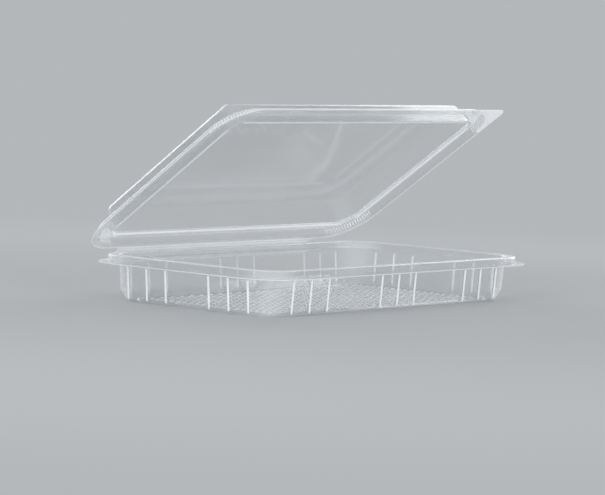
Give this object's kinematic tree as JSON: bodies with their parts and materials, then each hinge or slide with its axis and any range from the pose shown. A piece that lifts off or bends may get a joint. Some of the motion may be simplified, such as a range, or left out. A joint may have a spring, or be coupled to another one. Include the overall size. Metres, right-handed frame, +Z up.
{
  "type": "plastic clamshell pack",
  "caption": "Clear hinged clamshell pack: a shallow rectangular tray with grouped wall ribs and an upturned rim bead, and a shallow domed lid on a fold hinge, standing part open.",
  "frame": {"origin": "middle of the tray's flat underside, on the surface it stands on", "axes": "+X along the hinge, +Y towards the hinge side, +Z up"},
  "size_m": [0.251, 0.1647, 0.1195],
  "materials": {
    "clear_sheet": "clear glossy formed sheet"
  },
  "bodies": {
    "tray_half": {"base_tray": "clear_sheet"},
    "lid_half": {"lid": "clear_sheet"}
  },
  "joints": [
    {"name": "lid_hinge", "type": "hinge", "parent": "tray_half", "child": "lid_half", "pos_m": [0, 0.08725, 0.01925], "axis": [-1, 0, 0], "range_deg": [-35.1, 138.9]}
  ]
}
